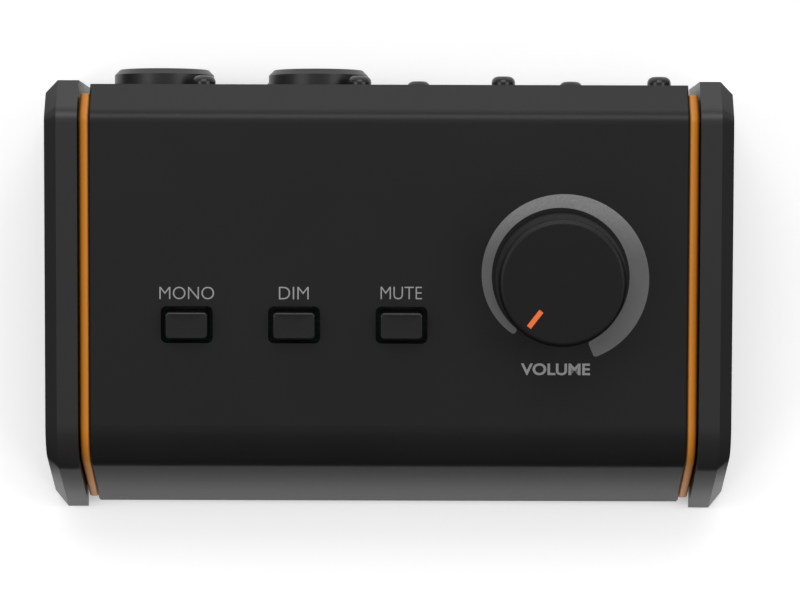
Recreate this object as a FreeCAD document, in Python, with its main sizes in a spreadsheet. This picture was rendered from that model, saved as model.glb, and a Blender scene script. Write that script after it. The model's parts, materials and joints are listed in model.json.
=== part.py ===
import FreeCAD, Part
import os

import Sketcher

# Studio monitor controller: a wedge-shaped desk case with a volume knob, three push buttons and four
# panel connectors at the rear. Millimetres; X to the right, Y to the rear, Z up, ground at Z = 0.

SIZES = {
    # case
    "body_width": 134.0,
    "body_depth": 94.7,
    "case_height": 41.7,
    "rear_height": 35.0,
    "bevel_run": 7.1,
    "panel_slope": 5.7,
    "front_lean": 18.0,
    "front_radius": 11.0,
    "kink_radius": 4.0,
    "wall": 2.2,
    "foot_height": 3.5,
    "foot_radius": 6.3,
    "foot_sole_radius": 5.796,
    "foot_inset_x": 20.0,
    "foot_inset_y": 14.0,
    "plate_thickness": 2.0,
    "edge_gap": 0.1,
    "fit_gap": 0.05,
    "edge_break": 0.4,
    "overcut": 1.0,
    # cheeks and trim strips
    "groove_width": 2.5,
    "cheek_thickness": 7.5,
    "cheek_proud": 0.8,
    "cheek_drop": 2.0,
    "cheek_chamfer": 2.8,
    "strip_recess": 0.7,
    "strip_depth": 2.6,
    "strip_width": 2.1,
    "strip_rear_gap": 1.7,
    "strip_front_gap": 2.1,
    # fixings
    "boss_size": 7.0,
    "boss_length": 12.0,
    "rear_boss_setback": 12.0,
    "front_boss_setback": 60.0,
    "block_size": 10.0,
    "rear_block_setback": 40.0,
    "front_block_margin": 15.7,
    "screw_radius": 1.5,
    "screw_length": 6.0,
    "screw_head_radius": 2.65,
    "screw_head_height": 2.2,
    "screw_head_rounding": 1.4,
    "hex_radius": 1.45,
    "hex_depth": 1.2,
    "cheek_screw_length": 16.0,
    # rear connectors
    "rear_recess": 2.0,
    "flange_width": 26.0,
    "flange_height": 31.0,
    "flange_thickness": 2.0,
    "flange_corner": 2.12,
    "flange_centre_height": 16.2,
    "flange_screw_x": 9.5,
    "flange_screw_z": 12.0,
    "connector_side_margin": 2.7,
    "second_connector_x": 16.2,
    "barrel_radius": 11.3,
    "barrel_gap": 0.2,
    "barrel_length": 24.0,
    "ring_proud": 4.0,
    "ring_chamfer": 1.2,
    "plug_space_radius": 9.6,
    "input_core_radius": 7.8,
    "input_groove_depth": 12.0,
    "jack_radius": 3.25,
    "jack_depth": 24.0,
    "contact_circle": 5.5,
    "contact_radius": 1.2,
    "contact_hole_radius": 1.3,
    "contact_setback": 5.0,
    "cup_depth": 18.0,
    "insulator_thickness": 3.0,
    "pin_circle": 4.2,
    "pin_radius": 1.2,
    "pin_setback": 3.0,
    "cup_back_bore": 6.5,
    # knob and potentiometer
    "knob_margin": 28.6,
    "knob_setback": 36.2,
    "knob_base_radius": 14.7,
    "knob_top_radius": 14.1,
    "knob_gap": 0.6,
    "knob_height": 14.0,
    "knob_rounding": 1.1,
    "knob_cavity_radius": 7.5,
    "knob_cavity_height": 4.0,
    "shaft_radius": 3.0,
    "shaft_height": 11.5,
    "pointer_inner": 7.7,
    "pointer_length": 4.5,
    "pointer_width": 1.1,
    "pointer_depth": 1.0,
    "pointer_angle": 232.4,
    "pot_radius": 8.5,
    "pot_height": 8.8,
    "pot_wall": 1.5,
    "bushing_radius": 3.5,
    "bushing_height": 3.6,
    "washer_radius": 6.0,
    "washer_thickness": 0.6,
    "nut_radius": 5.8,
    "nut_height": 2.2,
    "rotor_radius": 6.4,
    "rotor_thickness": 1.6,
    "rotor_depth": 4.6,
    # buttons
    "button_margin": 45.9,
    "button_pitch": 24.0,
    "button_setback": 47.0,
    "button_length": 9.5,
    "button_width": 6.05,
    "button_proud": 3.0,
    "button_depth": 4.2,
    "button_corner": 0.7,
    "button_edge": 0.35,
    "cutout_length": 11.6,
    "cutout_width": 8.3,
    "cutout_corner": 1.3,
    "switch_size": 8.0,
    "switch_height": 5.0,
    "plunger_size": 3.2,
    "plunger_play": 0.1,
    "plunger_length": 7.3,
    "plunger_top": 1.0,
    "switch_floor": 0.8,
    # circuit boards
    "board_side_gap": 5.0,
    "board_depth": 39.0,
    "board_setback": 45.4,
    "board_thickness": 1.6,
    "standoff_radius": 2.5,
    "standoff_margin": 12.0,
    "standoff_pitch": 31.0,
    "standoff_cap": 0.5,
    "rear_board_side_gap": 3.0,
    "rear_board_height": 27.0,
    "header_length": 22.0,
    "header_width": 8.0,
    "header_height": 6.0,
    "header_rise": 8.0,
    "ribbon_width": 16.0,
    "ribbon_thickness": 0.9,
}

doc = FreeCAD.newDocument("monitor_controller")
sheet = doc.addObject("Spreadsheet::Sheet", "sizes")
for row, (alias, number) in enumerate(SIZES.items(), start=1):
    sheet.set(f"A{row}", alias)
    sheet.set(f"B{row}", str(number))
    sheet.setAlias(f"B{row}", alias)
doc.recompute()

# Places that several pieces share, as formulas of the driving sizes.
REAR = (
    "((sizes.body_depth + sizes.cheek_proud / cos(sizes.front_lean)"
    " + sizes.cheek_drop * tan(sizes.front_lean) - sizes.ring_proud) / 2)"
)
FRONT = f"({REAR} - sizes.body_depth)"
FLOOR = "sizes.foot_height"
CHEEK_BOTTOM = "(sizes.foot_height - sizes.cheek_drop)"
KINK_Y = f"({REAR} - sizes.bevel_run)"
KINK_Z = "(sizes.foot_height + sizes.case_height)"
HALF_BODY = "(sizes.body_width / 2)"
CHEEK_INSIDE = f"({HALF_BODY} + sizes.groove_width)"
CHEEK_OUTSIDE = f"({CHEEK_INSIDE} + sizes.cheek_thickness)"
SPIGOT_INSET = "(sizes.strip_recess + sizes.strip_depth)"
PLATE_TOP = f"({FLOOR} + sizes.plate_thickness)"
PANEL_FACE = f"({REAR} - sizes.rear_recess)"
PANEL_BACK = f"({PANEL_FACE} - sizes.plate_thickness)"
FLANGE_FACE = f"({PANEL_FACE} + sizes.flange_thickness)"
CONNECTOR_BACK = f"({PANEL_FACE} - sizes.barrel_length)"
CONNECTOR_Z = f"({FLOOR} + sizes.flange_centre_height)"
BOARD_DROP = "(sizes.wall + sizes.pot_height)"
BOARD_WIDTH = "(sizes.body_width - 2 * sizes.board_side_gap)"
STANDOFF_X = f"({BOARD_WIDTH} / 2 - sizes.standoff_margin)"
KNOB_X = f"({HALF_BODY} - sizes.knob_margin)"
FIRST_CONNECTOR_X = f"({HALF_BODY} - sizes.connector_side_margin - sizes.flange_width / 2)"

# Tolerance in millimetres, or in radians, by which edges and faces are chosen.
NEAR = 0.01

ALONG_X = (FreeCAD.Vector(0, 1, 0), "90")
ALONG_Y = (FreeCAD.Vector(1, 0, 0), "-90")
FACING_MINUS_X = (FreeCAD.Vector(0, 1, 0), "-90")
FACING_MINUS_Y = (FreeCAD.Vector(1, 0, 0), "90")

parts = []


def value(formula):
    """The number that a formula of the sheet's sizes gives now."""
    return float(sheet.evalExpression(str(formula)))


def bind(thing, formulas):
    for name, formula in formulas.items():
        thing.setExpression(name, str(formula))


def place(thing, at, turn=None):
    """Puts a thing at three formulas, turned about an axis."""
    if turn:
        axis, angle = turn
        thing.Placement = FreeCAD.Placement(FreeCAD.Vector(), FreeCAD.Rotation(axis, 1))
        thing.setExpression("Placement.Rotation.Angle", angle)
    for letter, formula in zip("xyz", at):
        thing.setExpression(f"Placement.Base.{letter}", str(formula))
    return thing


def on_panel(thing):
    """Carries a thing from panel coordinates (origin on the kink line, Z off the panel) to the case."""
    return place(thing, ("0", KINK_Y, KINK_Z), (FreeCAD.Vector(1, 0, 0), "sizes.panel_slope"))


def box(name, size, centre, low, turn=None):
    """A block of (x, y, z) size, centred on (x, y) and standing on low."""
    block = doc.addObject("Part::Box", name)
    bind(block, dict(zip(("Length", "Width", "Height"), size)))
    corner = (f"{centre[0]} - ({size[0]}) / 2", f"{centre[1]} - ({size[1]}) / 2", low)
    return place(block, corner, turn)


def rod(name, radius, height, at, turn=None):
    cylinder = doc.addObject("Part::Cylinder", name)
    bind(cylinder, {"Radius": radius, "Height": height})
    return place(cylinder, at, turn)


def taper(name, low_radius, high_radius, height, at, turn=None):
    cone = doc.addObject("Part::Cone", name)
    bind(cone, {"Radius1": low_radius, "Radius2": high_radius, "Height": height})
    return place(cone, at, turn)


def hexagon(name, circumradius, height, at, turn=None):
    prism = doc.addObject("Part::Prism", name)
    prism.Polygon = 6
    bind(prism, {"Circumradius": circumradius, "Height": height})
    return place(prism, at, turn)


def fuse(name, shapes):
    union = doc.addObject("Part::MultiFuse", name)
    union.Shapes = shapes
    return union


def cut(name, base, tool):
    difference = doc.addObject("Part::Cut", name)
    difference.Base = base
    difference.Tool = tool
    return difference


def common(name, base, tool):
    overlap = doc.addObject("Part::Common", name)
    overlap.Base = base
    overlap.Tool = tool
    return overlap


def group(name, shapes):
    compound = doc.addObject("Part::Compound", name)
    compound.Links = shapes
    return compound


def mirror(name, source):
    copy = doc.addObject("Part::Mirroring", name)
    copy.Source = source
    copy.Normal = FreeCAD.Vector(1, 0, 0)
    return copy


def grown(name, source, distance):
    """The source with every face moved outward by a distance, sharp corners kept sharp."""
    offset = doc.addObject("Part::Offset", name)
    offset.Source = source
    offset.Join = 2
    bind(offset, {"Value": distance})
    return offset


def worked(name, base, feature, chosen, size):
    """A body of the base, in its place, with a Fillet or Chamfer on the edges or faces chosen."""
    doc.recompute()
    body = doc.addObject("PartDesign::Body", name)
    body.BaseFeature = base
    body.Placement = base.Placement
    for path, formula in base.ExpressionEngine:
        if "Placement" in path:
            body.setExpression(path, formula)
    doc.recompute()
    dress(body, feature, chosen, size)
    return body


def dress(body, feature, chosen, size):
    """Adds a Fillet, Chamfer or Thickness to a body's last feature, on the elements chosen."""
    doc.recompute()
    last = body.Tip
    added = body.newObject(f"PartDesign::{feature}", f"{body.Name}_{feature.lower()}")
    added.Base = (last, chosen(last.Shape))
    sized = {"Fillet": "Radius", "Chamfer": "Size", "Thickness": "Value"}
    bind(added, {sized[feature]: size})
    body.Tip = added
    return added


def faces_facing(direction):
    """Chooses the flat faces whose outward normal is a direction."""
    def choose(shape):
        return [
            f"Face{number}"
            for number, face in enumerate(shape.Faces, start=1)
            if face.normalAt(0, 0).getAngle(direction) < NEAR
        ]
    return choose


def upright_edges(shape):
    """Chooses the edges that run along Z."""
    return [
        f"Edge{number}"
        for number, edge in enumerate(shape.Edges, start=1)
        if edge.BoundBox.XLength < NEAR and edge.BoundBox.YLength < NEAR
    ]


def finish(thing, label):
    """Keeps a thing as a sub-part under the label that names its file."""
    thing.Label = label
    parts.append(thing)
    return thing


def case_outline(name, width, bottom):
    """A body of the wedge-shaped side outline: flat base, upright rear, bevel, sloped panel, leaning front."""
    body = doc.addObject("PartDesign::Body", name)
    sketch = body.newObject("Sketcher::SketchObject", f"{name}_sketch")
    side_plane = next(f for f in body.Origin.OriginFeatures if f.Role == "YZ_Plane")
    sketch.AttachmentSupport = [(side_plane, "")]
    sketch.MapMode = "FlatFace"
    lean = "tan(sizes.front_lean)"
    slope = "tan(sizes.panel_slope)"
    corner_y = (
        f"(({FRONT} + ({KINK_Z} - {KINK_Y} * {slope} - {FLOOR}) * {lean}) / (1 - {slope} * {lean}))"
    )
    corner_z = f"({KINK_Z} - ({KINK_Y} - {corner_y}) * {slope})"
    corners = [
        (f"({FRONT} - ({FLOOR} - {bottom}) * {lean})", bottom),
        (REAR, bottom),
        (REAR, f"({FLOOR} + sizes.rear_height)"),
        (KINK_Y, KINK_Z),
        (corner_y, corner_z),
    ]
    points = [FreeCAD.Vector(value(y), value(z), 0) for y, z in corners]
    for start, end in zip(points, points[1:] + points[:1]):
        sketch.addGeometry(Part.LineSegment(start, end))
    count = len(points)
    for line in range(count):
        sketch.addConstraint(Sketcher.Constraint("Coincident", line, 2, (line + 1) % count, 1))
    for line, (y, z) in enumerate(corners):
        for kind, formula in (("DistanceX", y), ("DistanceY", z)):
            number = sketch.addConstraint(Sketcher.Constraint(kind, -1, 1, line, 1, value(formula)))
            sketch.setExpression(f"Constraints[{number}]", formula)
    pad = body.newObject("PartDesign::Pad", f"{name}_pad")
    pad.Profile = sketch
    pad.SideType = "Symmetric"
    bind(pad, {"Length": width})
    doc.recompute()

    def edge_at(point):
        def choose(shape):
            return [
                f"Edge{number}"
                for number, edge in enumerate(shape.Edges, start=1)
                if all(v.Point.distanceToPoint(FreeCAD.Vector(v.X, point.x, point.y)) < NEAR
                       for v in edge.Vertexes)
            ]
        return choose

    dress(body, "Fillet", edge_at(points[3]), "sizes.kink_radius")
    dress(body, "Fillet", edge_at(points[4]), "sizes.front_radius")
    doc.recompute()
    return body


def machine_screw(name, at, turn, length="sizes.screw_length"):
    """A pan-head screw with a hexagon recess; its shank runs along the turned Z from the seat at at."""
    shank = rod(f"{name}_shank", "sizes.screw_radius", f"{length}", ("0", "0", "0"))
    head = rod(f"{name}_head", "sizes.screw_head_radius", "sizes.screw_head_height",
               ("0", "0", "-sizes.screw_head_height"))
    doc.recompute()

    def rim(shape):
        return [
            f"Edge{number}"
            for number, edge in enumerate(shape.Edges, start=1)
            if edge.BoundBox.ZMax < NEAR
        ]

    domed = worked(f"{name}_domed", head, "Fillet", rim, "sizes.screw_head_rounding")
    recess = hexagon(f"{name}_recess", "sizes.hex_radius", "sizes.hex_depth",
                     ("0", "0", "-sizes.screw_head_height"))
    solid = cut(name, fuse(f"{name}_blank", [shank, domed]), recess)
    return place(solid, at, turn)


def countersunk_screw(name, at, turn):
    """A countersunk screw whose head is flush with the surface at at."""
    shank = rod(f"{name}_shank", "sizes.screw_radius", "sizes.cheek_screw_length", ("0", "0", "0"))
    head = taper(f"{name}_head", "sizes.screw_head_radius", "sizes.screw_radius",
                 "sizes.screw_head_radius - sizes.screw_radius", ("0", "0", "0"))
    recess = hexagon(f"{name}_recess", "sizes.hex_radius", "sizes.hex_depth", ("0", "0", "0"))
    solid = cut(name, fuse(f"{name}_blank", [shank, head]), recess)
    return place(solid, at, turn)


def panel_point(setback, drop):
    """(y, z) formulas in the case for a point behind the panel's kink line."""
    y = f"({KINK_Y} - ({setback}) * cos(sizes.panel_slope) + ({drop}) * sin(sizes.panel_slope))"
    z = f"({KINK_Z} - ({setback}) * sin(sizes.panel_slope) - ({drop}) * cos(sizes.panel_slope))"
    return y, z


BOSS_DROP = "(sizes.wall + sizes.boss_size / 2)"
BLOCK_Z = f"({PLATE_TOP} + sizes.block_size / 2)"
CHEEK_SCREWS = [
    panel_point("sizes.rear_boss_setback", BOSS_DROP),
    panel_point("sizes.front_boss_setback", BOSS_DROP),
    (f"({REAR} - sizes.rear_block_setback)", BLOCK_Z),
    (f"({FRONT} + sizes.front_block_margin)", BLOCK_Z),
]
CONNECTORS = {
    "outer_input": f"-{FIRST_CONNECTOR_X}",
    "inner_input": "-sizes.second_connector_x",
    "inner_output": "sizes.second_connector_x",
    "outer_output": FIRST_CONNECTOR_X,
}
BUTTONS = {
    "mono": f"(sizes.button_margin - {HALF_BODY} - sizes.button_pitch)",
    "dim": f"(sizes.button_margin - {HALF_BODY})",
    "mute": f"(sizes.button_margin - {HALF_BODY} + sizes.button_pitch)",
}
HOLE = "(sizes.screw_radius + sizes.fit_gap)"


def main_housing():
    """Formed shell, open at the ends, base and rear, with four screw bosses under the panel."""
    shell = case_outline("housing_form", "sizes.body_width", FLOOR)

    def openings(shape):
        ways = ((1, 0, 0), (-1, 0, 0), (0, 0, -1), (0, 1, 0))
        return [name for way in ways for name in faces_facing(FreeCAD.Vector(*way))(shape)]

    outline = [edge.CenterOfMass for edge in shell.Shape.Edges if edge.BoundBox.XLength < NEAR]
    hollow = dress(shell, "Thickness", openings, "sizes.wall")
    hollow.Reversed = True
    hollow.Join = 1

    def end_outline(shape):
        return [f"Edge{number}" for number, edge in enumerate(shape.Edges, start=1)
                if any(edge.CenterOfMass.distanceToPoint(middle) < NEAR for middle in outline)]

    dress(shell, "Chamfer", end_outline, "sizes.edge_break")
    bosses = []
    bores = []
    for side, sign in (("left", "-1"), ("right", "1")):
        for row in ("rear_boss", "front_boss"):
            name = f"{side}_{row}"
            middle = f"({sign}) * ({HALF_BODY} - sizes.boss_length / 2)"
            blank = box(name, ("sizes.boss_length", "sizes.boss_size", "sizes.boss_size"),
                        (middle, f"-sizes.{row}_setback"), "-sizes.wall - sizes.boss_size")
            bosses.append(blank)
            start = f"{middle} - sizes.boss_length / 2 - sizes.overcut"
            bores.append(rod(f"{name}_bore", HOLE, "sizes.boss_length + 2 * sizes.overcut",
                             (start, f"-sizes.{row}_setback", f"-{BOSS_DROP}"), ALONG_X))
    for name, x in BUTTONS.items():
        size = ("sizes.cutout_length", "sizes.cutout_width", "sizes.wall + 2 * sizes.overcut")
        opening = box(f"{name}_opening", size, (x, "-sizes.button_setback"), "-sizes.wall - sizes.overcut")
        bores.append(worked(f"{name}_opening_rounded", opening, "Fillet", upright_edges, "sizes.cutout_corner"))
    bores.append(rod("bushing_hole", "sizes.bushing_radius + sizes.edge_gap", "sizes.wall + 2 * sizes.overcut",
                     (KNOB_X, "-sizes.knob_setback", "-sizes.wall - sizes.overcut")))
    with_bosses = fuse("housing_with_bosses", [shell, on_panel(fuse("bosses", bosses))])
    finish(cut("housing_solid", with_bosses, on_panel(fuse("housing_openings", bores))), "main_housing")


def cheeks_and_strips():
    """Side cheek with a chamfered outer rim and an inner spigot; the trim strip lies on the spigot's edge."""
    form = case_outline("side_form", f"{CHEEK_OUTSIDE} * 3", "0")
    outer = grown("cheek_outline", form, "sizes.cheek_proud")
    span = "(2 * sizes.body_depth)"
    tall = "(2 * sizes.case_height)"
    plate_space = box("cheek_space", ("sizes.cheek_thickness", span, tall),
                      (f"-({CHEEK_INSIDE} + sizes.cheek_thickness / 2)", "0"), CHEEK_BOTTOM)
    blank = common("cheek_blank", outer, plate_space)
    outward = faces_facing(FreeCAD.Vector(-1, 0, 0))
    plate = worked("cheek_plate", blank, "Chamfer", outward, "sizes.cheek_chamfer")
    inner = grown("spigot_outline", form, f"-{SPIGOT_INSET}")
    spigot_space = box("spigot_space", ("sizes.groove_width", span, tall),
                       (f"-({HALF_BODY} + sizes.groove_width / 2)", "0"), FLOOR)
    spigot = common("spigot", inner, spigot_space)
    holes = []
    for number, (y, z) in enumerate(CHEEK_SCREWS, start=1):
        holes.append(rod(f"cheek_hole_{number}", HOLE, f"{CHEEK_OUTSIDE} - {HALF_BODY} + sizes.overcut",
                         (f"-{CHEEK_OUTSIDE}", y, z), ALONG_X))
        holes.append(taper(f"cheek_sink_{number}", "sizes.screw_head_radius + sizes.fit_gap", HOLE,
                           "sizes.screw_head_radius - sizes.screw_radius", (f"-{CHEEK_OUTSIDE}", y, z), ALONG_X))
    cheek = cut("cheek_solid", fuse("cheek_joined", [plate, spigot]), fuse("cheek_holes", holes))
    finish(cheek, "left_cheek")
    finish(mirror("cheek_mirrored", cheek), "right_cheek")

    strip_outside = grown("strip_outline", form, "-sizes.strip_recess")
    strip_space = box("strip_space", ("sizes.strip_width", span, tall),
                      (f"-({HALF_BODY} + sizes.strip_width / 2)", f"{REAR} - sizes.strip_rear_gap - {span} / 2"),
                      f"{FLOOR} + sizes.strip_front_gap")
    below_bevel = box("below_bevel", ("sizes.groove_width * 2", "sizes.bevel_run * 2", "sizes.rear_height"),
                      (f"-({HALF_BODY} + sizes.groove_width / 2)", REAR), f"{FLOOR} - {SPIGOT_INSET} / 2")
    band = cut("strip_band", common("strip_blank", strip_outside, strip_space), inner)
    strip = finish(cut("strip_solid", band, below_bevel), "left_trim_strip")
    finish(mirror("strip_mirrored", strip), "right_trim_strip")


def base_plate_and_rear_panel():
    """Flat floor plate, and the upright panel on its rear edge that carries the four connectors."""
    bevel_angle = "atan2(sizes.case_height - sizes.rear_height; sizes.bevel_run)"
    panel_height = (
        f"(sizes.rear_height + sizes.rear_recess * tan({bevel_angle})"
        f" - sizes.wall / cos({bevel_angle}) - sizes.edge_gap - sizes.plate_thickness)"
    )
    width = "sizes.body_width - 2 * sizes.edge_gap"
    through = "sizes.plate_thickness + 2 * sizes.overcut"
    front = f"({FRONT} + sizes.wall / cos(sizes.front_lean) + sizes.plate_thickness * tan(sizes.front_lean)"
    front += " + sizes.edge_gap)"
    plate = box("plate_blank", (width, f"{PANEL_FACE} - {front}", "sizes.plate_thickness"),
                ("0", f"({PANEL_FACE} + {front}) / 2"), FLOOR)
    plate_holes = [rod("plate_hole", HOLE, through, (x, y, f"{FLOOR} - sizes.overcut")) for x, y in block_places()]
    finish(cut("plate_solid", plate, fuse("plate_holes", plate_holes)), "base_plate")

    panel = box("panel_blank", (width, "sizes.plate_thickness", panel_height),
                ("0", f"({PANEL_FACE} + {PANEL_BACK}) / 2"), PLATE_TOP)
    behind = f"{PANEL_BACK} - sizes.overcut"
    holes = [rod("panel_block_hole", HOLE, through, ("0", behind, BLOCK_Z), ALONG_Y)]
    for name, x in CONNECTORS.items():
        holes.append(rod(f"{name}_cutout", "sizes.barrel_radius + sizes.barrel_gap", through,
                         (x, behind, CONNECTOR_Z), ALONG_Y))
        for sign in ("", "-"):
            holes.append(rod(f"{name}_panel_hole", HOLE, through,
                             (f"{x} + ({sign}sizes.flange_screw_x)", behind,
                              f"{CONNECTOR_Z} + ({sign}sizes.flange_screw_z)"), ALONG_Y))
    finish(cut("panel_solid", panel, fuse("panel_holes", holes)), "rear_panel")


def block_places():
    """(x, y) formulas of the floor's blocks: four against the cheeks, then one against the rear panel."""
    reach = f"({HALF_BODY} - sizes.block_size / 2)"
    rows = (f"({REAR} - sizes.rear_block_setback)", f"({FRONT} + sizes.front_block_margin)")
    corners = [(f"({sign} * {reach})", y) for sign in ("-1", "1") for y in rows]
    return corners + [("0", f"({PANEL_BACK} - sizes.block_size / 2)")]


def fixing_blocks():
    """Threaded blocks that tie the floor plate to the cheeks and to the rear panel."""
    start = "sizes.block_size / 2 - sizes.overcut"
    blocks = []
    for number, (x, y) in enumerate(block_places(), start=1):
        blank = box(f"block_{number}", ("sizes.block_size",) * 3, (x, y), PLATE_TOP)
        if x == "0":
            way = ((x, f"{y} - {start}", BLOCK_Z), ALONG_Y)
        else:
            way = ((f"{x} - {start}", y, BLOCK_Z), ALONG_X)
        across = rod(f"block_{number}_cross_hole", HOLE, "sizes.block_size + 2 * sizes.overcut", *way)
        up = rod(f"block_{number}_hole", HOLE, "sizes.block_size / 2 - sizes.screw_radius - sizes.fit_gap",
                 (x, y, PLATE_TOP))
        blocks.append(cut(f"block_{number}_solid", blank, fuse(f"block_{number}_holes", [across, up])))
    finish(group("block_group", blocks), "fixing_blocks")


def case_screws():
    """Countersunk screws through the cheeks, pan-head screws up through the floor."""
    screws = []
    for number, (y, z) in enumerate(CHEEK_SCREWS, start=1):
        screws.append(countersunk_screw(f"left_cheek_screw_{number}", (f"-{CHEEK_OUTSIDE}", y, z), ALONG_X))
        screws.append(countersunk_screw(f"right_cheek_screw_{number}", (CHEEK_OUTSIDE, y, z), FACING_MINUS_X))
    finish(group("cheek_screw_group", screws), "cheek_screws")
    length = "(sizes.plate_thickness + sizes.block_size / 2 - sizes.screw_radius - 4 * sizes.fit_gap)"
    upward = [machine_screw(f"floor_screw_{number}", (x, y, FLOOR), None, length)
              for number, (x, y) in enumerate(block_places(), start=1)]
    finish(group("floor_screw_group", upward), "base_screws")


def rubber_feet():
    feet = []
    for x in (f"(sizes.foot_inset_x - {HALF_BODY})", f"({HALF_BODY} - sizes.foot_inset_x)"):
        for y in (f"({REAR} - sizes.foot_inset_y)", f"({FRONT} + sizes.foot_inset_y)"):
            feet.append(taper("foot", "sizes.foot_sole_radius", "sizes.foot_radius", "sizes.foot_height",
                              (x, y, "0")))
    finish(group("foot_group", feet), "rubber_feet")


def flange(name, x):
    """Mounting flange with two opposite screw holes and rounded corners."""
    plate = box(f"{name}_plate", ("sizes.flange_width", "sizes.flange_thickness", "sizes.flange_height"),
                (x, f"{PANEL_FACE} + sizes.flange_thickness / 2"), f"{CONNECTOR_Z} - sizes.flange_height / 2")

    def corners(shape):
        return [f"Edge{number}" for number, edge in enumerate(shape.Edges, start=1)
                if edge.BoundBox.XLength < NEAR and edge.BoundBox.ZLength < NEAR]

    return worked(f"{name}_flange", plate, "Fillet", corners, "sizes.flange_corner")


def flange_holes(name, x):
    return [
        rod(f"{name}_flange_hole", HOLE, "sizes.flange_thickness + 2 * sizes.overcut",
            (f"{x} + ({sign}sizes.flange_screw_x)", f"{PANEL_FACE} - sizes.overcut",
             f"{CONNECTOR_Z} + ({sign}sizes.flange_screw_z)"), ALONG_Y)
        for sign in ("", "-")
    ]


def contact_circle(radius):
    """(x, z) formulas of three contacts round a connector's axis, one of them straight below it."""
    return [(f"({radius} * sin({turn}))", f"(-{radius} * cos({turn}))") for turn in ("0", "120", "240")]


def input_socket(name, x):
    """Input that takes a three-pin plug in its ring groove or a 6.35 mm jack in its centre bore."""
    tip = f"({FLANGE_FACE} + sizes.ring_proud)"
    straight = f"({tip} - sizes.ring_chamfer - {CONNECTOR_BACK})"
    barrel = rod(f"{name}_barrel", "sizes.barrel_radius", straight, (x, CONNECTOR_BACK, CONNECTOR_Z), ALONG_Y)
    rim = taper(f"{name}_rim", "sizes.barrel_radius", "sizes.barrel_radius - sizes.ring_chamfer",
                "sizes.ring_chamfer", (x, f"{tip} - sizes.ring_chamfer", CONNECTOR_Z), ALONG_Y)
    groove = cut(f"{name}_groove",
                 rod(f"{name}_groove_outer", "sizes.plug_space_radius", "sizes.input_groove_depth + sizes.overcut",
                     (x, f"{tip} - sizes.input_groove_depth", CONNECTOR_Z), ALONG_Y),
                 rod(f"{name}_core", "sizes.input_core_radius", "sizes.input_groove_depth + sizes.overcut",
                     (x, f"{tip} - sizes.input_groove_depth", CONNECTOR_Z), ALONG_Y))
    holes = [groove]
    holes.append(rod(f"{name}_jack_bore", "sizes.jack_radius", "sizes.jack_depth + sizes.overcut",
                     (x, f"{tip} - sizes.jack_depth", CONNECTOR_Z), ALONG_Y))
    contacts = []
    for dx, dz in contact_circle("sizes.contact_circle"):
        spot = (f"{x} + {dx}", CONNECTOR_BACK, f"{CONNECTOR_Z} + {dz}")
        holes.append(rod(f"{name}_contact_hole", "sizes.contact_hole_radius",
                         f"{tip} - {CONNECTOR_BACK} + sizes.overcut", spot, ALONG_Y))
        contacts.append(rod(f"{name}_contact", "sizes.contact_radius",
                            f"{tip} - sizes.contact_setback - {CONNECTOR_BACK}", spot, ALONG_Y))
    blank = fuse(f"{name}_blank", [flange(name, x), barrel, rim])
    finish(cut(f"{name}_solid", blank, fuse(f"{name}_holes", holes + flange_holes(name, x))), f"{name}_socket")
    finish(group(f"{name}_contact_group", contacts), f"{name}_contacts")


def output_plug(name, x):
    """Output with three pins standing in a round cup."""
    barrel = rod(f"{name}_barrel", "sizes.barrel_radius", "sizes.barrel_length + sizes.flange_thickness / 2",
                 (x, CONNECTOR_BACK, CONNECTOR_Z), ALONG_Y)
    cup_floor = f"({FLANGE_FACE} - sizes.cup_depth)"
    cup = rod(f"{name}_cup", "sizes.plug_space_radius", "sizes.cup_depth + sizes.overcut",
              (x, cup_floor, CONNECTOR_Z), ALONG_Y)
    back = rod(f"{name}_back_bore", "sizes.cup_back_bore", "sizes.barrel_length",
               (x, f"{CONNECTOR_BACK} - sizes.overcut", CONNECTOR_Z), ALONG_Y)
    blank = fuse(f"{name}_blank", [flange(name, x), barrel])
    finish(cut(f"{name}_solid", blank, fuse(f"{name}_holes", [cup, back] + flange_holes(name, x))),
           f"{name}_shell")
    disc = rod(f"{name}_disc", "sizes.plug_space_radius - sizes.fit_gap", "sizes.insulator_thickness",
               (x, cup_floor, CONNECTOR_Z), ALONG_Y)
    pins = []
    holes = []
    for dx, dz in contact_circle("sizes.pin_circle"):
        spot = (f"{x} + {dx}", CONNECTOR_BACK, f"{CONNECTOR_Z} - ({dz})")
        pins.append(rod(f"{name}_pin", "sizes.pin_radius", f"{FLANGE_FACE} - sizes.pin_setback - {CONNECTOR_BACK}",
                        spot, ALONG_Y))
        holes.append(rod(f"{name}_pin_hole", "sizes.pin_radius + sizes.fit_gap", "sizes.barrel_length",
                         spot, ALONG_Y))
    finish(cut(f"{name}_insulator_solid", disc, fuse(f"{name}_pin_holes", holes)), f"{name}_insulator")
    finish(group(f"{name}_pin_group", pins), f"{name}_pins")


def connectors():
    screws = []
    for name, x in CONNECTORS.items():
        (input_socket if "input" in name else output_plug)(name, x)
        for number, sign in enumerate(("", "-"), start=1):
            seat = (f"{x} + ({sign}sizes.flange_screw_x)", FLANGE_FACE,
                    f"{CONNECTOR_Z} + ({sign}sizes.flange_screw_z)")
            screws.append(machine_screw(f"{name}_screw_{number}", seat, FACING_MINUS_Y))
    screws.append(machine_screw("panel_screw", ("0", PANEL_FACE, BLOCK_Z), FACING_MINUS_Y))
    finish(group("rear_screw_group", screws), "rear_screws")


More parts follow.
